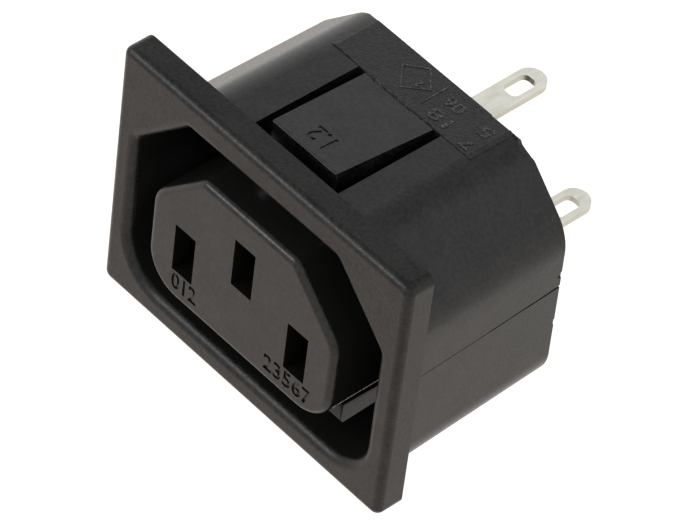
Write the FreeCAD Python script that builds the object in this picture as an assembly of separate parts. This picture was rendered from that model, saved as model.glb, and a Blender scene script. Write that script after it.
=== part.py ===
"""Snap-in panel power outlet with a chamfered core and three slots for flat pins.

Frame, in millimetres: the origin is the centre of the flange's rear face, which seats on the panel.
+X is to the right seen from the front, +Y runs back through the panel, and +Z is up, towards the
two chamfered corners and the earth slot.
"""

import FreeCAD, Part

import math
import os
from collections import namedtuple

Vector = FreeCAD.Vector

# ---------------------------------------------------------------- driving sizes

# Core, which the plug's shroud slides over
core_width = 22.7
core_top = 7.85
core_bottom = -7.7
core_chamfer = 5.65
core_proud = 1.0  # ahead of the flange's front face
core_top_radius = 1.2
core_shoulder_radius = 2.6
core_base_radius = 3.8
core_front_round = 0.65

# Pins: two line pins side by side and the earth pin between and above them
line_pitch = 14.0
line_height = -1.85
earth_rise = 4.0
slot_width = 2.5
slot_height = 5.2

# Channel round the core, which takes the plug's shroud
channel_side = 3.65
channel_top = 2.65
channel_bottom = 3.25
recess_chamfer = 5.95
recess_top_radius = 0.8
recess_shoulder_radius = 1.0
recess_base_radius = 4.4
recess_mouth_round = 0.9

# Walls of the body round the channel, where the body meets the flange
side_wall = 1.0  # at the shoulders
top_wall = 1.9
bottom_wall = 1.55
floor_thickness = 3.1  # from the channel's floor to the rear cover

# Body, behind the panel
body_depth = 17.6
body_chamfer = 6.3
body_flare = 0.2  # each side, from the shoulder down to the base
body_draft = 1.1  # degrees, on every outer wall
body_top_radius = 4.0
body_shoulder_radius = 5.0
body_base_radius = 4.0
rear_top_chamfer = 0.3  # along the top wall's rear edge, behind the pad

# Flange, in front of the panel
flange_overlap_side = 1.5  # beyond the body's shoulder
flange_overlap_bottom = 1.125  # beyond the body's base
flange_thickness = 2.75
flange_corner_radius = 0.9
flange_front_round = 0.75

# Snap tongues, cut out of the top and bottom walls and sprung outwards
tongue_tip_setback = 1.65  # tip to panel seat: holds a 1.5 mm panel
tongue_tip_proud = 0.75  # of the wall where it meets the flange
tongue_flare = 0.24  # each side, from tip to root
tongue_edge_round = 0.12
tongue_window_radius = 0.12

# Upper tongue, narrow, between the cut corners
upper_tip_width = 7.76
upper_tip_thickness = 1.8
upper_front_gap = 1.18  # each side of the tip
upper_root_gap = 0.94
upper_window_setback = 0.82  # front of the window to panel seat

# Lower tongue, wide
lower_tip_width = 16.0
lower_tip_thickness = 2.35
lower_front_gap = 1.35
lower_root_gap = 0.85
lower_window_setback = 0.45

# Raised marking pad behind the upper tongue
pad_width = 17.0
pad_front_step = 0.05
pad_end_setback = 0.3
pad_front_setback = 0.05

# Rear cover, let into the back of the body
cover_thickness = 2.0
cover_inset = 0.2
cover_rim = 1.6
cover_tightest_radius = 0.3
cover_clearance = 0.05
tab_clearance = 0.1

# Contacts, each folded from one strip
strip_thickness = 0.6
contact_front_wall = 2.0
contact_clearance = 0.15
contact_tip_gap = 0.3
grip_width = 3.9
grip_overlap = 2.2  # leaf edge beyond the pin's axis
base_drop = 2.6  # pin axis to the strip's inner face
grip_setback = 3.2  # from the back of the folded walls to the rear cover
grip_length = 3.6
fold_radius = 0.7
leaf_foot_gap = 0.35
pinch_gap = 1.7
pinch_setback = 2.7
mouth_gap = 2.6
joggle_start = 0.5
joggle_run = 1.4
line_joggle = 1.0
shoulder_width = 4.0
tab_width = 2.85
tab_projection = 12.1
eye_width = 1.65
eye_length = 2.85
eye_corner_radius = 0.6
eye_margin = 1.3

# ---------------------------------------------------------------- worked-out places

core_half_width = core_width / 2
recess_half_width = core_half_width + channel_side
recess_top = core_top + channel_top
recess_bottom = core_bottom - channel_bottom
body_half_width = recess_half_width + side_wall
body_top = recess_top + top_wall
body_bottom = recess_bottom - bottom_wall
flange_half_width = body_half_width + flange_overlap_side
flange_half_height = -body_bottom + flange_overlap_bottom

front_face = -flange_thickness
core_face = front_face - core_proud
rear_face = body_depth
cover_back = rear_face - cover_inset
cover_front = cover_back - cover_thickness
recess_floor = cover_front - floor_thickness

draft_slope = math.tan(math.radians(body_draft))
cut_corner_draft = 2 - math.sqrt(2)  # how fast a 45 degree corner cut shortens as its outline shrinks

chamber_front = core_face + contact_front_wall
chamber_width = max(grip_width, shoulder_width) + 2 * contact_clearance
grip_back = cover_front - grip_setback
grip_front = grip_back - grip_length

OVERRUN = 1.0  # by which a cut, or a join, runs past the face it goes through
SAME_POINT = 1e-6
ON_FACE = 1e-3

Radii = namedtuple("Radii", "top shoulder base")
Tongue = namedtuple("Tongue", "side tip_width tip_thickness front_gap root_gap window_setback")
Contact = namedtuple("Contact", "name x z fold joggle")  # fold: +1 base above the pin, -1 below

TONGUES = [  # side: +1 in the top wall, -1 in the bottom wall
    Tongue(
        1, upper_tip_width, upper_tip_thickness, upper_front_gap, upper_root_gap, upper_window_setback
    ),
    Tongue(
        -1, lower_tip_width, lower_tip_thickness, lower_front_gap, lower_root_gap, lower_window_setback
    ),
]

CONTACTS = [
    Contact("line_contact_left", -line_pitch / 2, line_height, -1, line_joggle),
    Contact("earth_contact", 0.0, line_height + earth_rise, 1, 0.0),
    Contact("line_contact_right", line_pitch / 2, line_height, -1, line_joggle),
]

# ---------------------------------------------------------------- helpers


def rounded_wire(corners, place):
    """Closed wire through (u, v, radius) corners; place(u, v) gives each point in space."""
    count = len(corners)
    points = [place(u, v) for u, v, _ in corners]
    arcs = []
    for i, (_, _, radius) in enumerate(corners):
        corner = points[i]
        before = (points[i - 1] - corner).normalize()
        after = (points[(i + 1) % count] - corner).normalize()
        half_angle = before.getAngle(after) / 2
        bisector = (before + after).normalize()
        setback = radius / math.tan(half_angle)
        middle = corner + bisector * (radius / math.sin(half_angle) - radius)
        arcs.append((corner + before * setback, middle, corner + after * setback))
    edges = []
    for i, (start, middle, end) in enumerate(arcs):
        if start.distanceToPoint(end) > SAME_POINT:
            edges.append(Part.Arc(start, middle, end).toShape())
        following = arcs[(i + 1) % count][0]
        if end.distanceToPoint(following) > SAME_POINT:
            edges.append(Part.LineSegment(end, following).toShape())
    return Part.Wire(edges)


def upright(y):
    """Places (x, z) in the plane across the socket at depth y."""
    return lambda x, z: Vector(x, y, z)


def level(contact, z):
    """Places (x, y) in the plane at height z, with x measured from the contact's centre line."""
    return lambda x, y: Vector(contact.x + x, y, z)


def across(contact, y):
    """Places (x, drop) at depth y, with drop measured from the pin's axis towards the strip."""
    return lambda x, drop: Vector(contact.x + x, y, contact.z + contact.fold * drop)


def box(x, y, z):
    """Box spanning the three (low, high) ranges."""
    size = [high - low for low, high in (x, y, z)]
    return Part.makeBox(*size, Vector(x[0], y[0], z[0]))


def extruded(wire, direction):
    return Part.Face(wire).extrude(direction)


def socket_corners(half_width, top, bottom, chamfer, radii, flare=0.0):
    """Outline shared by body, recess and core: both upper corners are cut at 45 degrees."""
    return [
        (chamfer - half_width, top, radii.top),
        (half_width - chamfer, top, radii.top),
        (half_width, top - chamfer, radii.shoulder),
        (half_width + flare, bottom, radii.base),
        (-half_width - flare, bottom, radii.base),
        (-half_width, top - chamfer, radii.shoulder),
    ]


def body_corners(y, inset=0.0):
    """Body outline at depth y, after its draft, and drawn in by inset."""
    shrink = y * draft_slope + inset
    radii = Radii(body_top_radius, body_shoulder_radius, body_base_radius)
    if inset:
        radii = Radii(*(max(radius - inset, cover_tightest_radius) for radius in radii))
    chamfer = body_chamfer - cut_corner_draft * shrink
    half_width = body_half_width - shrink
    top, bottom = body_top - shrink, body_bottom + shrink
    return socket_corners(half_width, top, bottom, chamfer, radii, body_flare)


def edges_between(shape, low, high):
    """Edges that lie wholly between two opposite corners of a box, faces included."""
    reach = FreeCAD.BoundBox(*low, *high)
    reach.enlarge(ON_FACE)
    return [edge for edge in shape.Edges if reach.isInside(edge.BoundBox)]


def edges_at(shape, y, half_width, half_height):
    """Edges that lie in the plane at depth y, within the given distances of the centre line."""
    return edges_between(shape, (-half_width, y, -half_height), (half_width, y, half_height))


# ---------------------------------------------------------------- housing


def make_flange():
    width, height = flange_half_width, flange_half_height
    corners = [
        (x * width, z * height, flange_corner_radius)
        for x, z in ((-1, 1), (1, 1), (1, -1), (-1, -1))
    ]
    plate = extruded(rounded_wire(corners, upright(front_face)), Vector(0, flange_thickness, 0))
    return plate.makeFillet(flange_front_round, edges_at(plate, front_face, width, height))


def make_rear_trim():
    """Wedge that takes the corner off the top wall's rear edge, and fades out on the rounded sides."""
    rear_top = body_top - rear_face * draft_slope
    profile = [
        (rear_face + OVERRUN, rear_top - rear_top_chamfer - OVERRUN),
        (rear_face + OVERRUN, rear_top + OVERRUN),
        (rear_face - rear_top_chamfer - OVERRUN, rear_top + OVERRUN),
    ]
    points = [Vector(-body_half_width, y, z) for y, z in profile]
    return extruded(Part.makePolygon(points + points[:1]), Vector(2 * body_half_width, 0, 0))


def make_body():
    sections = [rounded_wire(body_corners(y), upright(y)) for y in (0.0, rear_face)]
    return Part.makeLoft(sections, True, True).cut(make_rear_trim())


def recess_corners():
    radii = Radii(recess_top_radius, recess_shoulder_radius, recess_base_radius)
    return socket_corners(recess_half_width, recess_top, recess_bottom, recess_chamfer, radii)


def cut_recess(shell):
    wire = rounded_wire(recess_corners(), upright(core_face))
    shell = shell.cut(extruded(wire, Vector(0, recess_floor - core_face, 0)))
    half_height = max(recess_top, -recess_bottom)
    mouth = edges_at(shell, front_face, recess_half_width, half_height)
    return shell.makeFillet(recess_mouth_round, mouth)


def make_core():
    radii = Radii(core_top_radius, core_shoulder_radius, core_base_radius)
    corners = socket_corners(core_half_width, core_top, core_bottom, core_chamfer, radii)
    length = recess_floor - core_face + OVERRUN
    core = extruded(rounded_wire(corners, upright(core_face)), Vector(0, length, 0))
    return core.makeFillet(core_front_round, edges_at(core, core_face, core_width, core_width))


def wall(side):
    """Inner and outer faces of the top wall (side = 1) or the bottom wall (side = -1)."""
    return (recess_top, body_top) if side > 0 else (-recess_bottom, -body_bottom)


def make_tongue_window(tongue):
    """Gap round a tongue, right through its wall, with rounded corners."""
    front_half = tongue.tip_width / 2 + tongue.front_gap
    back_half = tongue.tip_width / 2 + tongue_flare + tongue.root_gap
    inner, outer = wall(tongue.side)
    corners = [
        (-front_half, tongue.window_setback, tongue_window_radius),
        (front_half, tongue.window_setback, tongue_window_radius),
        (back_half, recess_floor, tongue_window_radius),
        (-back_half, recess_floor, tongue_window_radius),
    ]
    wire = rounded_wire(corners, lambda x, y: Vector(x, y, tongue.side * inner))
    return extruded(wire, Vector(0, 0, tongue.side * (outer - inner + OVERRUN)))


def make_tongue(tongue):
    """Tapered latch that rises from its root at the recess floor to its free tip by the flange."""
    root_bottom, outer = wall(tongue.side)
    root_top = outer - recess_floor * draft_slope
    tip_top = outer + tongue_tip_proud
    tip_bottom = tip_top - tongue.tip_thickness
    half = tongue.tip_width / 2
    ends = (
        (tongue_tip_setback, half, tip_bottom, tip_top),
        (recess_floor, half + tongue_flare, root_bottom, root_top),
    )
    sections = []
    for y, reach, low, high in ends:
        corners = [(-reach, low), (reach, low), (reach, high), (-reach, high)]
        points = [Vector(x, y, tongue.side * z) for x, z in corners]
        sections.append(Part.makePolygon(points + points[:1]))
    latch = Part.makeLoft(sections, True, True)
    low, high = sorted((tongue.side * tip_bottom, tongue.side * tip_top))
    tip = edges_between(latch, (-half, tongue_tip_setback, low), (half, tongue_tip_setback, high))
    return latch.makeFillet(tongue_edge_round, tip)


def make_pad():
    """Marking pad with a level top, which the draft of the top wall leaves prouder at the rear."""
    front = recess_floor + pad_front_setback
    top = body_top - front * draft_slope + pad_front_step
    buried = body_top - rear_face * draft_slope - OVERRUN
    return box(
        (-pad_width / 2, pad_width / 2),
        (front, rear_face - pad_end_setback),
        (buried, top),
    )


def contact_span(contact):
    """Lowest and highest z that a contact's strip and leaves take up."""
    outer = contact.z + contact.fold * (base_drop + strip_thickness)
    leaf_edge = contact.z - contact.fold * grip_overlap
    return sorted((outer, leaf_edge))


def make_chamber(contact):
    """Slot through the core's face, and the wider chamber behind it that holds the contact."""
    low, high = contact_span(contact)
    half_slot, half_chamber = slot_width / 2, chamber_width / 2
    slot = box(
        (contact.x - half_slot, contact.x + half_slot),
        (core_face - OVERRUN, chamber_front + OVERRUN),
        (contact.z - slot_height / 2, contact.z + slot_height / 2),
    )
    chamber = box(
        (contact.x - half_chamber, contact.x + half_chamber),
        (chamber_front, cover_front + OVERRUN),
        (low - contact_clearance, high + contact_clearance),
    )
    return slot.fuse(chamber)


def cover_corners(clearance):
    return body_corners(rear_face, cover_rim + clearance)


def make_housing():
    housing = cut_recess(make_flange().fuse(make_body()))
    housing = housing.fuse(make_core())
    pocket = rounded_wire(cover_corners(0.0), upright(cover_front))
    cuts = [extruded(pocket, Vector(0, rear_face - cover_front + OVERRUN, 0))]
    cuts += [make_chamber(contact) for contact in CONTACTS]
    cuts += [make_tongue_window(tongue) for tongue in TONGUES]
    housing = housing.cut(cuts)
    housing = housing.fuse([make_tongue(tongue) for tongue in TONGUES] + [make_pad()])
    return housing.removeSplitter()


# ---------------------------------------------------------------- rear cover


def make_rear_cover():
    wire = rounded_wire(cover_corners(cover_clearance), upright(cover_front))
    cover = extruded(wire, Vector(0, cover_thickness, 0))
    half_width = tab_width / 2 + tab_clearance
    half_height = strip_thickness / 2 + tab_clearance
    slots = []
    for contact in CONTACTS:
        z = tab_plane(contact)
        slots.append(
            box(
                (contact.x - half_width, contact.x + half_width),
                (cover_front - OVERRUN, cover_back + OVERRUN),
                (z - half_height, z + half_height),
            )
        )
    return cover.cut(slots)


# ---------------------------------------------------------------- contacts


def base_plane(contact):
    """Height of the middle of the strip under or over the pin."""
    return contact.z + contact.fold * (base_drop + strip_thickness / 2)


def tab_plane(contact):
    """Height of the middle of the solder tab, after the joggle towards the pin's axis."""
    return base_plane(contact) - contact.fold * contact.joggle


def make_grip(contact):
    """U-shaped root of the contact: the strip and its two folded-up walls."""
    half = grip_width / 2
    inner = half - strip_thickness
    foot = base_drop + strip_thickness
    tip = -grip_overlap
    inner_radius = fold_radius - strip_thickness
    corners = [
        (-half, foot, fold_radius),
        (half, foot, fold_radius),
        (half, tip, 0),
        (inner, tip, 0),
        (inner, foot - strip_thickness, inner_radius),
        (-inner, foot - strip_thickness, inner_radius),
        (-inner, tip, 0),
        (-half, tip, 0),
    ]
    wire = rounded_wire(corners, across(contact, grip_front))
    return extruded(wire, Vector(0, grip_length, 0))


def make_leaves(contact):
    """Two springs that run forward from the grip, pinch the pin, and flare at the mouth."""
    mouth = chamber_front + contact_tip_gap
    pinch = chamber_front + pinch_setback
    root_gap = grip_width - 2 * strip_thickness
    line = [(grip_front, root_gap / 2), (pinch, pinch_gap / 2), (mouth, mouth_gap / 2)]
    top = contact.z - contact.fold * grip_overlap
    height = contact.fold * (grip_overlap + base_drop - leaf_foot_gap)
    leaves = []
    for side in (1, -1):
        inner = [Vector(contact.x + side * x, y, top) for y, x in line]
        outer = [Vector(contact.x + side * (x + strip_thickness), y, top) for y, x in reversed(line)]
        wire = Part.makePolygon(inner + outer + inner[:1])
        leaves.append(extruded(wire, Vector(0, 0, height)))
    return leaves


def make_strip(contact):
    """Flat strip from the grip, over the joggle, to the shoulders against the cover."""
    half = strip_thickness / 2
    low, high = base_plane(contact) - half, tab_plane(contact) - half
    bend = grip_back + joggle_start
    slope = math.atan2(high - low, joggle_run)
    mitre = strip_thickness * math.tan(slope / 2)
    under = [(grip_back, low), (bend, low), (bend + joggle_run, high), (cover_front, high)]
    over = [
        (cover_front, high + strip_thickness),
        (bend + joggle_run - mitre, high + strip_thickness),
        (bend - mitre, low + strip_thickness),
        (grip_back, low + strip_thickness),
    ]
    points = [Vector(contact.x - shoulder_width / 2, y, z) for y, z in under + over]
    return extruded(Part.makePolygon(points + points[:1]), Vector(shoulder_width, 0, 0))


def make_tab(contact):
    """Solder tab with a rounded end and a wide eye, through the cover and out at the back."""
    end = rear_face + tab_projection
    half = tab_width / 2
    blade = [
        (-half, cover_front, 0),
        (-half, end, half),
        (half, end, half),
        (half, cover_front, 0),
    ]
    eye_back = end - eye_margin
    half_eye = eye_width / 2
    eye = [
        (-half_eye, eye_back - eye_length, eye_corner_radius),
        (-half_eye, eye_back, eye_corner_radius),
        (half_eye, eye_back, eye_corner_radius),
        (half_eye, eye_back - eye_length, eye_corner_radius),
    ]
    place = level(contact, tab_plane(contact) - strip_thickness / 2)
    up = Vector(0, 0, strip_thickness)
    return extruded(rounded_wire(blade, place), up).cut(extruded(rounded_wire(eye, place), up))


def make_contact(contact):
    parts = make_leaves(contact) + [make_strip(contact), make_tab(contact)]
    return make_grip(contact).fuse(parts).removeSplitter()


# ---------------------------------------------------------------- output


def main():
    nodes = {"housing": make_housing(), "rear_cover": make_rear_cover()}
    for contact in CONTACTS:
        nodes[contact.name] = make_contact(contact)
    os.makedirs("parts", exist_ok=True)
    for name, shape in nodes.items():
        solids = shape.Solids
        print(name, "solids", len(solids), "volume", round(shape.Volume, 1), "valid", shape.isValid())
        shape.exportStep(f"parts/{name}.step")


main()
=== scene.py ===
"""Looks of the panel outlet: moulded black plastic, tinned tabs, moulded marks and the studio."""

import math
import random

import bmesh
import bpy
from mathutils import Matrix, Quaternion, Vector


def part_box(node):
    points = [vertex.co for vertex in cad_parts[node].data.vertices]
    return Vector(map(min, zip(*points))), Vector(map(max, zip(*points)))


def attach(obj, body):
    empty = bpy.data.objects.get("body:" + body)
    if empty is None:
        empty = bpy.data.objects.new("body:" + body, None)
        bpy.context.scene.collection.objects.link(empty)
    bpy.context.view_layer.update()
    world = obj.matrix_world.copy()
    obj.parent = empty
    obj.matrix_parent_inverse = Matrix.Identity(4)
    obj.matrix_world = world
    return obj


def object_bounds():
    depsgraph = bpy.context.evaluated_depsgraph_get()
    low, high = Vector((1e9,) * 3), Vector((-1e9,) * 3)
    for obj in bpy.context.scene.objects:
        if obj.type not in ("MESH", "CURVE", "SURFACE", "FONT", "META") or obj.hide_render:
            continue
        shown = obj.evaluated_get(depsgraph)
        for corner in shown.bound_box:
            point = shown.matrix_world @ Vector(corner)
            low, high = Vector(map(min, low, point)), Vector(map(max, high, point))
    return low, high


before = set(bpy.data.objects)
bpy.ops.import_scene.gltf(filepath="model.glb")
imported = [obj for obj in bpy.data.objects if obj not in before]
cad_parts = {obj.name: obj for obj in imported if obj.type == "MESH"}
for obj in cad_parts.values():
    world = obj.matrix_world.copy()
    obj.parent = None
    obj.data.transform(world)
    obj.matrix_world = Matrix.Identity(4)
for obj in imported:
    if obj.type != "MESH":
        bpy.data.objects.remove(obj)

MM = 0.001

# ------------------------------------------------------- camera and studio, in metres and degrees

CAMERA_AZIMUTH = 42.42  # from the front towards the right
CAMERA_ELEVATION = 45.80
CAMERA_ROLL = 7.73
CAMERA_DISTANCE = 0.451
CAMERA_TARGET = Vector((0.00396, 0.00463, 0.00113))
CAMERA_LENS = 281.8
CAMERA_SENSOR = 36.0
CAMERA_CLIP = 0.01

SKY_LOW, SKY_LOW_RISE = 1.42, 0.55  # brightness up to this height on the unit sphere
SKY_HIGH, SKY_HIGH_RISE = 0.86, 0.72  # and above this height
FLOOR_FRONT = (1.17, 1.06, 1.0)  # warm whites, so bright that the paper shows as pure white
FLOOR_BACK = (1.28, 1.25, 1.19)
FLOOR_BLEND = (-15.0, 60.0)  # depths in mm between which the front tone turns into the back one
FLOOR_SIZE = 4.0
FLOOR_GAP = 0.0002

KEY_DIRECTION = Vector((-0.47, -0.717, 0.515))
KEY_DISTANCE = 0.5
KEY_SIZE = 0.2
KEY_POWER = 0.9

# ------------------------------------------------------- places on the CAD model, in millimetres

HOUSING_LOW, HOUSING_HIGH = (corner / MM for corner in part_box("housing"))
CORE_FACE = HOUSING_LOW.y
FLANGE_TOP = HOUSING_HIGH.z
REAR_FACE = HOUSING_HIGH.y

BODY_TOP = 12.4  # where it meets the flange
SIDE_WALL = 16.07  # half width of the body at the parting line, where it meets the flange
WALL_DRAFT = 0.0192  # loss of each wall's reach per millimetre of depth
PAD_TOP = 12.213
PAD_FRONT, PAD_REAR = 12.35, 17.3
PAD_HALF_WIDTH = 8.5
TONGUE_TIP_DEPTH, TONGUE_TIP_TOP = 1.65, 13.15
TONGUE_SLOPE = 0.0926

# ------------------------------------------------------- areas of the plastic, in millimetres

SOFT, CRISP = 0.2, 0.1  # widths over which most areas fade out at their edges
INSIDE_END = 13.0  # depth, a little beyond the floor of the recess

RECESS_HALF_WIDTH = 15.3
RECESS_BOTTOM, RECESS_TOP = -11.2, 10.7
RECESS_CORNER = 20.3  # reach sideways and up, added together, at the cut upper corners
RECESS_MOUTH, RECESS_MOUTH_FADE = -2.0, 0.5

CORE_HALF_WIDTH = 11.7  # the core's area reaches a little beyond its sides
CORE_BOTTOM, CORE_TOP = -8.1, 8.2
CORE_SIDE_START, CORE_SIDE_FADE = CORE_FACE + 0.6, 0.3

SLOTS_HALF_WIDTH, SLOTS_HALF_HEIGHT = 8.6, 5.0
SLOTS_CORNER = 12.0
SLOTS_START, SLOTS_FADE = CORE_FACE + 0.06, 0.06

WINDOW_HALF_WIDTH = 9.7  # the lower tongue and its window in the bottom wall
WINDOW_TOP = -10.9
WINDOW_FRONT, WINDOW_REAR = 0.3, 12.25

FLANGE_FRONT, FLANGE_REAR = CORE_FACE + 0.5, 0.05
FLANGE_LEDGE, FLANGE_LEDGE_FADE = FLANGE_TOP - 0.05, 0.05  # its narrow top face

PAD_AREA_FRONT = PAD_FRONT - 0.25
PAD_AREA_LOW = PAD_TOP - 0.15
PAD_AREA_FADE = 0.3

# ------------------------------------------------------- finish of the plastic

GRAIN, SKIN, MOTTLE, CLOUD = (0.22, 5), (0.15, 6), (0.35, 2), (2.5, 2)  # size in mm, and detail
PLASTIC_DARKEST = (0.0004, 0.0004, 0.0004)
PLASTIC_LIGHTEST = (0.0100, 0.0094, 0.0088)
MOTTLE_RANGE = (0.55, 0.95)  # of the mottling and part of the clouds, from darkest to lightest
CLOUD_SHARE = 0.5
SCUFF_AND_GLINT_TONE = (0.085, 0.084, 0.082)  # on the raised marks of the pad: lighter specks, partly scuffs and partly painted glints
SCUFF_AND_GLINT_RANGE = (0.52, 0.68)
INSIDE_TONE = (0.0070, 0.0070, 0.0066)
# painted shade: the walls of the slots are darker than the other walls inside
SLOT_SHADE_TONE = (0.0048, 0.0044, 0.0038)

PLASTIC_IOR = 1.35
PLASTIC_ROUGHNESS = (0.26, 0.38)
FLANGE_ROUGHER, INSIDE_SMOOTHER = 0.03, 0.14
PLASTIC_GLOSS = 0.5
INSIDE_DULLER, FLANGE_DULLER, LEDGE_DULLER = 0.12, 0.075, 0.09
SLOTS_DULLER, WINDOW_DULLER = 0.25, 0.2

BUMP_STRENGTH = 0.9
GRAIN_HEIGHT, GRAIN_LOSS_INSIDE = 0.012, 0.010
FLANGE_SKIN, PAD_SKIN, MARK_SKIN = 0.026, 0.05, 0.16  # height of the skin's bumps

# ------------------------------------------------------- finish of the contacts

SMEAR, SMEAR_STRETCH = (0.5, 4), (1.0, 0.25, 1.0)
TIN_FLATS = ((0.47, 0.465, 0.40), (0.75, 0.75, 0.70))
TIN_EDGES = ((0.40, 0.39, 0.33), (0.58, 0.57, 0.50))
# painted shade: the strip inside the chambers takes a dark tone instead of tin
STRIP_PAINTED_SHADE = (0.05, 0.042, 0.03)
TIN_ROUGHNESS = (0.30, 0.46)
TIN_BUMP_HEIGHT, TIN_BUMP_STRENGTH = 0.012, 0.5
FLAT_FACING, FLAT_FADE = 0.7, 0.3  # how far up or down a face looks to count as a flat
TIN_START_FADE = 0.5

# ------------------------------------------------------- moulded details, in millimetres

STROKE_GAIN = 0.018  # share of a character's size added to each side of its strokes
CURVE_STEPS = 3
SAME_POINT = 1e-5

FACE_MARKS = (("012", -8.15, -5.05), ("23567", 3.45, 9.35))  # characters, left and right end
FACE_MARK_FOOT, FACE_MARK_HEIGHT, FACE_MARK_DEPTH = -6.5, 1.85, 0.16
TONGUE_MARK = ("1.2", 1.0, 4.67, 2.27, 2.0)  # characters, left end, foot, width and height
TONGUE_MARK_DEPTH = 0.1
PAD_MARKS = (  # the same, read from the rear
    ("06", 4.15, 16.2, 1.95, 1.3),
    ("5", 7.6, 16.15, 1.2, 1.3),
    ("18", 4.6, 14.25, 2.3, 1.35),
    ("7", 7.6, 13.9, 1.2, 1.2),
    ("2", -0.2, 15.3, 0.5, 0.8),
)
PAD_MARK_RISE = 0.04
DIAMOND = ((-3.1, 15.35), (-1.15, 13.35), (0.75, 15.2), (-1.2, 17.0))
DIAMOND_LINE = 0.16
PAD_DIVIDER = ((1.2, 1.32), (13.5, 16.6))  # across and along
PAD_DIVIDER_ROOT = 0.1

CUT_REAR = REAR_FACE + 0.4  # where cuts end behind, above and beside the body
CUT_TOP = 13.0
CUT_MARGIN = 0.3
SKIM = 0.004  # how far the end slopes stay above the faces that they meet

PAD_END_RUN = 0.5
PAD_END_OVERLAP = 0.02
PAD_END_DEPTHS = (PAD_FRONT - 0.2, PAD_REAR + 0.4)
PAD_END_CLEAR = 1.0

PARTING_LINE = (  # depth, height, width and how deep it is sunk
    (1.2, -0.38, 0.05, 0.03),
    (5.0, -0.28, 0.07, 0.05),
    (8.0, -0.24, 0.06, 0.05),
    (11.0, -0.16, 0.11, 0.08),
    (14.0, -0.08, 0.13, 0.10),
    (16.2, -0.04, 0.17, 0.13),
    (17.9, 0.02, 0.22, 0.18),
)
PARTING_FLARE = 0.05

REAR_CHIP = (  # places across the edge, with the depth and height of the chip's inner corner
    (9.02, 17.45, 11.9),
    (9.25, 17.0, 11.5),
    (9.9, 16.62, 11.2),
    (10.35, 16.95, 11.0),
    (10.9, 17.2, 10.8),
    (11.6, 17.56, 10.5),
)
REAR_CHIP_LEAN, REAR_CHIP_DROP = 0.1, 0.15
PAD_NICK = ((5.8, 8.0), (PAD_REAR - 0.26, CUT_REAR), (12.0, 12.6))  # across, along and up
SIDE_NICKS = (  # how far in, where it starts, and from which height to which
    (0.12, 17.25, (1.1, 1.75)),
    (0.05, 17.4, (-4.6, -3.9)),
)
SIDE_NICK_DEPTH = 17.0  # where the side wall's reach is taken for the nicks

FLASH_LINES = (  # start and end on the pad, half width, lowest and highest crest, and pieces
    ((-4.15, PAD_FRONT + 0.03), (1.4, PAD_FRONT), 0.13, (0.03, 0.14), 40),
    ((1.45, PAD_FRONT), (4.5, PAD_FRONT + 0.03), 0.06, (-0.07, 0.05), 16),
    ((-8.4, PAD_FRONT + 0.06), (-5.9, PAD_FRONT + 0.06), 0.06, (-0.03, 0.05), 12),
    ((4.0, 16.93), (7.4, 16.88), 0.06, (-0.05, 0.06), 14),
)
FLASH_ROOT = 0.12
CORNER_FLASH = ((8.3, 17.3, 12.05), (9.15, 17.3, 12.02), 0.2, (0.10, 0.15), 5)  # the same, with heights
CORNER_FLASH_ROOT = 0.2
FLASH_WIDTHS = (0.7, 1.2)  # shares of the half width
FLASH_DRIFT = 0.4  # share of the half width by which the crest wanders

WELD_DISTANCE = 1e-7  # metres

random.seed(7)


def body_box():
    """The shown object's box, as plain lists."""
    return [list(corner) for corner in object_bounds()]


# ------------------------------------------------------- node helpers


def new_material(name):
    material = bpy.data.materials.new(name)
    material.use_nodes = True
    tree = material.node_tree
    tree.nodes.clear()
    shader = tree.nodes.new("ShaderNodeBsdfPrincipled")
    output = tree.nodes.new("ShaderNodeOutputMaterial")
    tree.links.new(shader.outputs["BSDF"], output.inputs["Surface"])
    return material, tree, shader


def object_noise(tree, cell_mm, detail, stretch=(1, 1, 1)):
    """Noise in object space with features about cell_mm across."""
    place = tree.nodes.new("ShaderNodeTexCoord")
    mapping = tree.nodes.new("ShaderNodeMapping")
    mapping.inputs["Scale"].default_value = stretch
    noise = tree.nodes.new("ShaderNodeTexNoise")
    noise.inputs["Scale"].default_value = 1 / (cell_mm * MM)
    noise.inputs["Detail"].default_value = detail
    tree.links.new(place.outputs["Object"], mapping.inputs["Vector"])
    tree.links.new(mapping.outputs["Vector"], noise.inputs["Vector"])
    return noise.outputs["Fac"]


def split_axes(tree, vector):
    split = tree.nodes.new("ShaderNodeSeparateXYZ")
    tree.links.new(vector, split.inputs["Vector"])
    return split.outputs["X"], split.outputs["Y"], split.outputs["Z"]


def object_axes(tree):
    """The X, Y and Z of the shaded point, in millimetres."""
    place = tree.nodes.new("ShaderNodeTexCoord")
    scale = tree.nodes.new("ShaderNodeVectorMath")
    scale.operation = "SCALE"
    scale.inputs["Scale"].default_value = 1 / MM
    tree.links.new(place.outputs["Object"], scale.inputs[0])
    return split_axes(tree, scale.outputs["Vector"])


def math_node(tree, operation, *values):
    """Math node on values that are each a plain number or a node's output."""
    node = tree.nodes.new("ShaderNodeMath")
    node.operation = operation
    for socket, value in zip(node.inputs, values):
        if isinstance(value, (int, float)):
            socket.default_value = value
        else:
            tree.links.new(value, socket)
    return node.outputs["Value"]


def times(tree, first, second):
    return math_node(tree, "MULTIPLY", first, second)


def highest(tree, masks):
    result = masks[0]
    for mask in masks[1:]:
        result = math_node(tree, "MAXIMUM", result, mask)
    return result


def all_of(tree, masks):
    result = masks[0]
    for mask in masks[1:]:
        result = times(tree, result, mask)
    return result


def ranged(tree, value, low, high, start=0.3, end=0.7):
    """Maps a value between start and end to low and high; noise mostly lies between 0.3 and 0.7."""
    node = tree.nodes.new("ShaderNodeMapRange")
    node.inputs["From Min"].default_value = start
    node.inputs["From Max"].default_value = end
    node.inputs["To Min"].default_value = low
    node.inputs["To Max"].default_value = high
    tree.links.new(value, node.inputs["Value"])
    return node.outputs["Result"]


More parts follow.
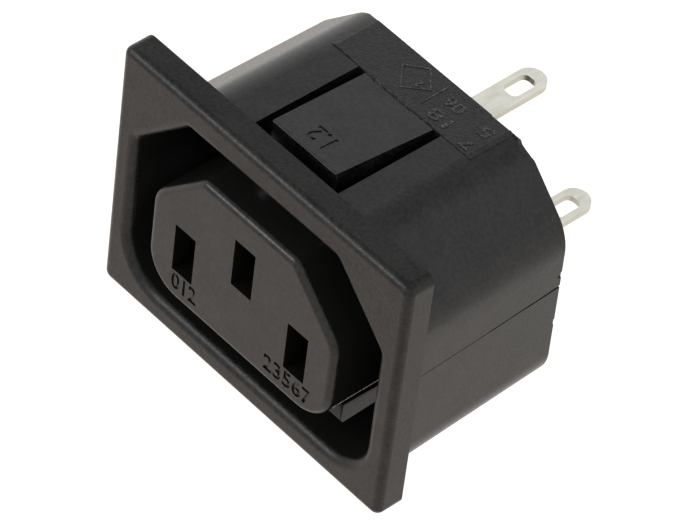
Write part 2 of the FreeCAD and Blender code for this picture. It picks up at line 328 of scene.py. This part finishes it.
def above(tree, value, edge, fade=SOFT):
    """1 above the edge and 0 below it, with a soft step."""
    return ranged(tree, value, 0, 1, edge - fade / 2, edge + fade / 2)


def below(tree, value, edge, fade=SOFT):
    """1 below the edge and 0 above it, with a soft step."""
    return ranged(tree, value, 1, 0, edge - fade / 2, edge + fade / 2)


def bumped(tree, height, distance_mm, strength, under=None):
    """Bump whose distance may vary from place to place."""
    node = tree.nodes.new("ShaderNodeBump")
    if isinstance(distance_mm, (int, float)):
        node.inputs["Distance"].default_value = distance_mm * MM
    else:
        tree.links.new(times(tree, distance_mm, MM), node.inputs["Distance"])
    node.inputs["Strength"].default_value = strength
    tree.links.new(height, node.inputs["Height"])
    if under is not None:
        tree.links.new(under, node.inputs["Normal"])
    return node.outputs["Normal"]


def mixed(tree, factor, first, second):
    """Blend of two colours, each a plain tone or a node's output."""
    mix = tree.nodes.new("ShaderNodeMix")
    mix.data_type = "RGBA"
    for name, colour in (("A", first), ("B", second)):
        if isinstance(colour, tuple):
            mix.inputs[name].default_value = (*colour, 1)
        else:
            tree.links.new(colour, mix.inputs[name])
    tree.links.new(factor, mix.inputs["Factor"])
    return mix.outputs["Result"]


# ------------------------------------------------------- areas of the plastic


def recess_area(tree, reach, y, z):
    """1 on the walls of the recess."""
    return all_of(
        tree,
        [
            below(tree, reach, RECESS_HALF_WIDTH),
            below(tree, z, RECESS_TOP),
            above(tree, z, RECESS_BOTTOM),
            above(tree, y, RECESS_MOUTH, RECESS_MOUTH_FADE),
            below(tree, y, INSIDE_END),
            below(tree, math_node(tree, "ADD", reach, z), RECESS_CORNER),
        ],
    )


def core_area(tree, reach, y, z):
    """1 on the sides of the core."""
    return all_of(
        tree,
        [
            below(tree, reach, CORE_HALF_WIDTH, CRISP),
            below(tree, z, CORE_TOP, CRISP),
            above(tree, z, CORE_BOTTOM, CRISP),
            above(tree, y, CORE_SIDE_START, CORE_SIDE_FADE),
            below(tree, y, INSIDE_END),
        ],
    )


def slots_area(tree, reach, y, z):
    """1 on the walls of the slots."""
    return all_of(
        tree,
        [
            below(tree, reach, SLOTS_HALF_WIDTH, CRISP),
            below(tree, math_node(tree, "ABSOLUTE", z), SLOTS_HALF_HEIGHT, CRISP),
            below(tree, math_node(tree, "ADD", reach, z), SLOTS_CORNER, CRISP),
            above(tree, y, SLOTS_START, SLOTS_FADE),
            below(tree, y, INSIDE_END),
        ],
    )


def window_area(tree, reach, y, z):
    """1 on the lower tongue and the walls of its window."""
    return all_of(
        tree,
        [
            below(tree, reach, WINDOW_HALF_WIDTH),
            below(tree, z, WINDOW_TOP, CRISP),
            above(tree, y, WINDOW_FRONT),
            below(tree, y, WINDOW_REAR, CRISP),
        ],
    )


def flange_area(tree, y, inside):
    """1 on the outer faces of the flange."""
    outside = math_node(tree, "SUBTRACT", 1, inside)
    return all_of(
        tree, [above(tree, y, FLANGE_FRONT), below(tree, y, FLANGE_REAR, CRISP), outside]
    )


def pad_area(tree, reach, y, z):
    """1 on the marking pad."""
    return all_of(
        tree,
        [
            above(tree, y, PAD_AREA_FRONT),
            below(tree, reach, PAD_HALF_WIDTH, PAD_AREA_FADE),
            above(tree, z, PAD_AREA_LOW, CRISP),
        ],
    )


# ------------------------------------------------------- materials


def black_plastic():
    """Black with fine grain, coarser on the flange and pad, and smooth dark walls inside."""
    material, tree, shader = new_material("moulded_black_plastic")
    x, y, z = object_axes(tree)
    reach = math_node(tree, "ABSOLUTE", x)
    slots = slots_area(tree, reach, y, z)
    inside = highest(tree, [recess_area(tree, reach, y, z), core_area(tree, reach, y, z), slots])
    window = window_area(tree, reach, y, z)
    flange = flange_area(tree, y, inside)
    ledge = times(tree, flange, above(tree, z, FLANGE_LEDGE, FLANGE_LEDGE_FADE))
    pad = pad_area(tree, reach, y, z)
    mark_middle = PAD_TOP + PAD_MARK_RISE / 2
    raised = times(tree, pad, above(tree, z, mark_middle, PAD_MARK_RISE / 2))
    grain, skin = object_noise(tree, *GRAIN), object_noise(tree, *SKIN)
    mottle, cloud = object_noise(tree, *MOTTLE), object_noise(tree, *CLOUD)

    shade = math_node(tree, "ADD", mottle, times(tree, cloud, CLOUD_SHARE))
    tone = mixed(tree, ranged(tree, shade, 0, 1, *MOTTLE_RANGE), PLASTIC_DARKEST, PLASTIC_LIGHTEST)
    # lighter specks on the raised marks: partly scuffs, partly painted glints
    scuff_and_glint_mask = times(tree, raised, ranged(tree, skin, 0, 1, *SCUFF_AND_GLINT_RANGE))
    tone_with_scuff_and_glint = mixed(tree, scuff_and_glint_mask, tone, SCUFF_AND_GLINT_TONE)
    # painted shade: a darker tone on the walls of the slots
    walls = mixed(tree, slots, INSIDE_TONE, SLOT_SHADE_TONE)
    tree.links.new(mixed(tree, inside, tone_with_scuff_and_glint, walls), shader.inputs["Base Color"])

    roughness = ranged(tree, grain, *PLASTIC_ROUGHNESS)
    for area, change in ((flange, FLANGE_ROUGHER), (inside, -INSIDE_SMOOTHER)):
        roughness = math_node(tree, "MULTIPLY_ADD", area, change, roughness)
    tree.links.new(roughness, shader.inputs["Roughness"])

    gloss = PLASTIC_GLOSS
    for area, loss in (
        (inside, INSIDE_DULLER),
        (flange, FLANGE_DULLER),
        (ledge, LEDGE_DULLER),
        (slots, SLOTS_DULLER),
        (window, WINDOW_DULLER),
    ):
        gloss = math_node(tree, "MULTIPLY_ADD", area, -loss, gloss)
    tree.links.new(gloss, shader.inputs["Specular IOR Level"])

    grain_height = math_node(tree, "MULTIPLY_ADD", inside, -GRAIN_LOSS_INSIDE, GRAIN_HEIGHT)
    fine = bumped(tree, grain, grain_height, BUMP_STRENGTH)
    skins = ((flange, FLANGE_SKIN), (pad, PAD_SKIN), (raised, MARK_SKIN))
    skin_height = highest(tree, [times(tree, area, height) for area, height in skins])
    coarse = bumped(tree, skin, skin_height, BUMP_STRENGTH, fine)
    tree.links.new(coarse, shader.inputs["Normal"])
    shader.inputs["IOR"].default_value = PLASTIC_IOR
    return material


def tinned_brass():
    """Dull tin on the flats, greyer on the sheared edges, and painted shade on the strip inside the
    chambers.
    """
    material, tree, shader = new_material("tin_plated_brass")
    smear = object_noise(tree, *SMEAR, SMEAR_STRETCH)
    place = tree.nodes.new("ShaderNodeTexCoord")
    facing = math_node(tree, "ABSOLUTE", split_axes(tree, place.outputs["Normal"])[2])
    flat = above(tree, facing, FLAT_FACING, FLAT_FADE)
    out = above(tree, object_axes(tree)[1], PAD_REAR, TIN_START_FADE)
    plated = mixed(tree, flat, mixed(tree, smear, *TIN_EDGES), mixed(tree, smear, *TIN_FLATS))
    # painted shade: inside the body the strip takes the dark tone instead of the tin
    tree.links.new(mixed(tree, out, STRIP_PAINTED_SHADE, plated), shader.inputs["Base Color"])
    tree.links.new(ranged(tree, smear, *TIN_ROUGHNESS), shader.inputs["Roughness"])
    dents = bumped(tree, smear, TIN_BUMP_HEIGHT, TIN_BUMP_STRENGTH)
    tree.links.new(dents, shader.inputs["Normal"])
    shader.inputs["Metallic"].default_value = 1.0
    return material


def floor_paper():
    """Paper that glows, so that it shows as pure white and takes no shadow."""
    material = bpy.data.materials.new("white_paper")
    material.use_nodes = True
    tree = material.node_tree
    tree.nodes.clear()
    blend = ranged(tree, object_axes(tree)[1], 0, 1, *FLOOR_BLEND)
    glow = tree.nodes.new("ShaderNodeEmission")
    tree.links.new(mixed(tree, blend, FLOOR_FRONT, FLOOR_BACK), glow.inputs["Color"])
    output = tree.nodes.new("ShaderNodeOutputMaterial")
    tree.links.new(glow.outputs["Emission"], output.inputs["Surface"])
    return material


# ------------------------------------------------------- studio


def add_object(name, data):
    item = bpy.data.objects.new(name, data)
    bpy.context.scene.collection.objects.link(item)
    return item


def make_camera():
    azimuth, elevation = math.radians(CAMERA_AZIMUTH), math.radians(CAMERA_ELEVATION)
    towards = Vector(
        (
            math.sin(azimuth) * math.cos(elevation),
            -math.cos(azimuth) * math.cos(elevation),
            math.sin(elevation),
        )
    )
    data = bpy.data.cameras.new("camera")
    data.lens = CAMERA_LENS
    data.sensor_width = CAMERA_SENSOR
    data.clip_start = CAMERA_CLIP
    camera = add_object("camera", data)
    camera.location = CAMERA_TARGET + towards * CAMERA_DISTANCE
    roll = Quaternion((0, 0, 1), math.radians(CAMERA_ROLL))
    camera.rotation_mode = "QUATERNION"
    camera.rotation_quaternion = towards.to_track_quat("Z", "Y") @ roll
    bpy.context.scene.camera = camera


def make_key_light():
    data = bpy.data.lights.new("key", "AREA")
    data.shape = "DISK"
    data.size = KEY_SIZE
    data.energy = KEY_POWER
    light = add_object("key", data)
    away = KEY_DIRECTION.normalized()
    light.location = away * KEY_DISTANCE
    light.rotation_mode = "QUATERNION"
    light.rotation_quaternion = away.to_track_quat("Z", "Y")


def make_sky():
    """Even white light that falls off towards the top."""
    world = bpy.data.worlds.new("studio")
    world.use_nodes = True
    tree = world.node_tree
    place = tree.nodes.new("ShaderNodeTexCoord")
    height = split_axes(tree, place.outputs["Generated"])[2]
    level = ranged(tree, height, SKY_LOW, SKY_HIGH, SKY_LOW_RISE, SKY_HIGH_RISE)
    tree.links.new(level, tree.nodes["Background"].inputs["Strength"])
    tree.nodes["Background"].inputs["Color"].default_value = (1, 1, 1, 1)
    bpy.context.scene.world = world


def make_studio(lowest):
    make_sky()
    bpy.ops.mesh.primitive_plane_add(size=FLOOR_SIZE, location=(0, 0, lowest - FLOOR_GAP))
    floor = bpy.context.object
    floor.name = "floor"
    floor.data.materials.append(floor_paper())
    make_key_light()
    bpy.context.scene.view_settings.view_transform = "Standard"


# ------------------------------------------------------- shapes that cut or join the housing


def text_shape(words, width, height, depth):
    """Closed mesh of characters on the XY plane, reaching half the depth to each side of it."""
    data = bpy.data.curves.new("text", "FONT")
    data.body = words
    data.size = 1.0
    data.extrude = 0.5
    data.offset = STROKE_GAIN
    data.resolution_u = CURVE_STEPS
    holder = add_object("text", data)
    bpy.context.view_layer.update()
    evaluated = holder.evaluated_get(bpy.context.evaluated_depsgraph_get())
    mesh = bpy.data.meshes.new_from_object(evaluated)
    bpy.data.objects.remove(holder)
    bm = bmesh.new()
    bm.from_mesh(mesh)
    bpy.data.meshes.remove(mesh)
    bmesh.ops.remove_doubles(bm, verts=bm.verts, dist=SAME_POINT)
    low = Vector([min(vertex.co[i] for vertex in bm.verts) for i in range(3)])
    high = Vector([max(vertex.co[i] for vertex in bm.verts) for i in range(3)])
    size = high - low
    for vertex in bm.verts:
        across, up, out = vertex.co - low
        vertex.co = (across / size.x * width, up / size.y * height, (out / size.z - 0.5) * depth)
    return bm


def lofted(rings, closed=False):
    """Closed mesh through rings of points, either capped or joined end to end."""
    bm = bmesh.new()
    loops = [[bm.verts.new(point) for point in ring] for ring in rings]
    following = loops[1:] + (loops[:1] if closed else [])
    for first, second in zip(loops, following):
        count = len(first)
        for i in range(count):
            j = (i + 1) % count
            bm.faces.new((first[i], first[j], second[j], second[i]))
    if not closed:
        bm.faces.new(loops[0])
        bm.faces.new(loops[-1])
    return bm


def block(x, y, z):
    """Box spanning the three (low, high) ranges."""
    return lofted([[(a, y[0], z[0]), (a, y[1], z[0]), (a, y[1], z[1]), (a, y[0], z[1])] for a in x])


def ridge(start, end, half_width, crests, pieces, root):
    """Ragged line of flash on an upper face: a low roof whose crest may dip under the face."""
    start, end, up = Vector(start), Vector(end), Vector((0, 0, 1))
    side = (end - start).cross(up).normalized()
    rings = []
    for i in range(pieces + 1):
        spot = start.lerp(end, i / pieces)
        crest = random.uniform(*crests) if 0 < i < pieces else -root / 2
        width = half_width * random.uniform(*FLASH_WIDTHS)
        drift = side * half_width * random.uniform(-FLASH_DRIFT, FLASH_DRIFT)
        base = spot - up * root
        rings.append([base - side * width, spot + up * crest + drift, base + side * width])
    return lofted(rings)


def placed(bm, matrix):
    bmesh.ops.transform(bm, matrix=matrix, verts=bm.verts)
    return bm


def gathered(name, shapes):
    """One object, in metres, of all the shapes."""
    whole = bmesh.new()
    for bm in shapes:
        bmesh.ops.recalc_face_normals(bm, faces=bm.faces)
        part = bpy.data.meshes.new("part")
        bm.to_mesh(part)
        bm.free()
        whole.from_mesh(part)
        bpy.data.meshes.remove(part)
    bmesh.ops.scale(whole, vec=(MM, MM, MM), verts=whole.verts)
    mesh = bpy.data.meshes.new(name)
    whole.to_mesh(mesh)
    whole.free()
    return add_object(name, mesh)


def combine(target, tool, operation):
    """Sinks the tool's shape into the target, or raises it from the target."""
    tool.hide_render = True
    tool.display_type = "WIRE"
    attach(tool, "root")
    modifier = target.modifiers.new(tool.name, "BOOLEAN")
    modifier.operation = operation
    modifier.solver = "EXACT"
    modifier.use_self = True  # without it the exact solver loses most of the housing
    modifier.object = tool


# ------------------------------------------------------- moulded details


def face_marks():
    """Characters sunk into the core's face, read from the front."""
    upright = Matrix.Rotation(math.radians(90), 4, "X")
    shapes = []
    for words, left, right in FACE_MARKS:
        text = text_shape(words, right - left, FACE_MARK_HEIGHT, 2 * FACE_MARK_DEPTH)
        spot = Matrix.Translation((left, CORE_FACE, FACE_MARK_FOOT))
        shapes.append(placed(text, spot @ upright))
    return shapes


def from_rear(words, left, foot, width, height, depth, z, tilt=0.0):
    """Characters on an upper surface, read from the rear."""
    text = text_shape(words, width, height, depth)
    turn = Matrix.Rotation(math.radians(180), 4, "Z")
    lean = Matrix.Rotation(tilt, 4, "X")
    return placed(text, Matrix.Translation((left, foot, z)) @ lean @ turn)


def tongue_mark():
    words, left, foot, width, height = TONGUE_MARK
    z = TONGUE_TIP_TOP - (foot - TONGUE_TIP_DEPTH) * TONGUE_SLOPE
    tilt = -math.atan(TONGUE_SLOPE)
    return from_rear(words, left, foot, width, height, 2 * TONGUE_MARK_DEPTH, z, tilt)


def diamond_outline():
    """Raised line round a diamond on the pad."""
    corners = [Vector((x, y, 0)) for x, y in DIAMOND]
    middle = sum(corners, Vector()) / len(corners)
    low, high = PAD_TOP - PAD_MARK_RISE, PAD_TOP + PAD_MARK_RISE
    rings = []
    for corner in corners:
        inner = corner + (middle - corner).normalized() * DIAMOND_LINE * math.sqrt(2)
        rings.append([(*corner.xy, low), (*corner.xy, high), (*inner.xy, high), (*inner.xy, low)])
    return lofted(rings, closed=True)


def pad_marks():
    shapes = [diamond_outline()]
    for words, left, foot, width, height in PAD_MARKS:
        shapes.append(from_rear(words, left, foot, width, height, 2 * PAD_MARK_RISE, PAD_TOP))
    shapes.append(block(*PAD_DIVIDER, (PAD_TOP - PAD_DIVIDER_ROOT, PAD_TOP + PAD_MARK_RISE)))
    return shapes


def side_reach(depth):
    """Half width of the body at a depth behind the flange."""
    return SIDE_WALL - depth * WALL_DRAFT


def parting_groove(side):
    """Groove along a side wall where the mould's halves met, wider and deeper to the rear."""
    rings = []
    for depth, z, width, sink in PARTING_LINE:
        inner, outer = side * (side_reach(depth) - sink), side * (side_reach(depth) + CUT_MARGIN)
        low, high = z - width / 2, z + width / 2
        rings.append(
            [
                (inner, depth, low),
                (outer, depth, low - PARTING_FLARE),
                (outer, depth, high + PARTING_FLARE),
                (inner, depth, high),
            ]
        )
    return lofted(rings)


def corner_chip():
    """Loss at the body's upper rear corner, beside the pad."""
    rings = []
    for x, depth, floor in REAR_CHIP:
        rings.append(
            [
                (x, depth, CUT_TOP),
                (x, CUT_REAR, CUT_TOP),
                (x, CUT_REAR, floor - REAR_CHIP_DROP),
                (x, depth + REAR_CHIP_LEAN, floor),
            ]
        )
    return lofted(rings)


def edge_nicks():
    """Small losses along the rear edges."""
    reach = side_reach(SIDE_NICK_DEPTH)
    nicks = [corner_chip(), block(*PAD_NICK)]
    for inward, start, heights in SIDE_NICKS:
        nicks.append(block((reach - inward, reach + CUT_MARGIN), (start, CUT_REAR), heights))
    return nicks


def pad_end_slopes():
    """Cuts that let the pad run out gently at both ends."""
    end = PAD_HALF_WIDTH + PAD_END_OVERLAP
    clear = PAD_TOP + PAD_END_CLEAR
    shapes = []
    for side in (-1, 1):
        rings = []
        for depth in PAD_END_DEPTHS:
            wall = BODY_TOP - depth * WALL_DRAFT + SKIM
            rings.append(
                [
                    (side * (end - PAD_END_RUN), depth, PAD_TOP + SKIM),
                    (side * end, depth, wall),
                    (side * end, depth, clear),
                    (side * (end - PAD_END_RUN), depth, clear),
                ]
            )
        shapes.append(lofted(rings))
    return shapes


def flash_lines():
    """Thin ragged flash round the pad and at the tongue's root."""
    shapes = []
    for start, end, half_width, crests, pieces in FLASH_LINES:
        start, end = (*start, PAD_TOP), (*end, PAD_TOP)
        shapes.append(ridge(start, end, half_width, crests, pieces, FLASH_ROOT))
    shapes.append(ridge(*CORNER_FLASH, CORNER_FLASH_ROOT))
    return shapes


def mould_details(housing):
    weld = housing.modifiers.new("weld", "WELD")
    weld.merge_threshold = WELD_DISTANCE  # joins split vertices, so that the details cut cleanly
    sunk = face_marks()
    sunk += [tongue_mark(), parting_groove(-1), parting_groove(1)]
    sunk += edge_nicks() + pad_end_slopes()
    combine(housing, gathered("sunk_details", sunk), "DIFFERENCE")
    combine(housing, gathered("raised_details", pad_marks() + flash_lines()), "UNION")


# ------------------------------------------------------- the object


def dress(node, material):
    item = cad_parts[node]
    item.data.materials.clear()
    item.data.materials.append(material)


def main():
    cad_box = body_box()
    make_camera()
    make_studio(cad_box[0][2])
    plastic, tin = black_plastic(), tinned_brass()
    for node in ("housing", "rear_cover"):
        dress(node, plastic)
    for node in ("line_contact_left", "earth_contact", "line_contact_right"):
        dress(node, tin)
    mould_details(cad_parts["housing"])


main()
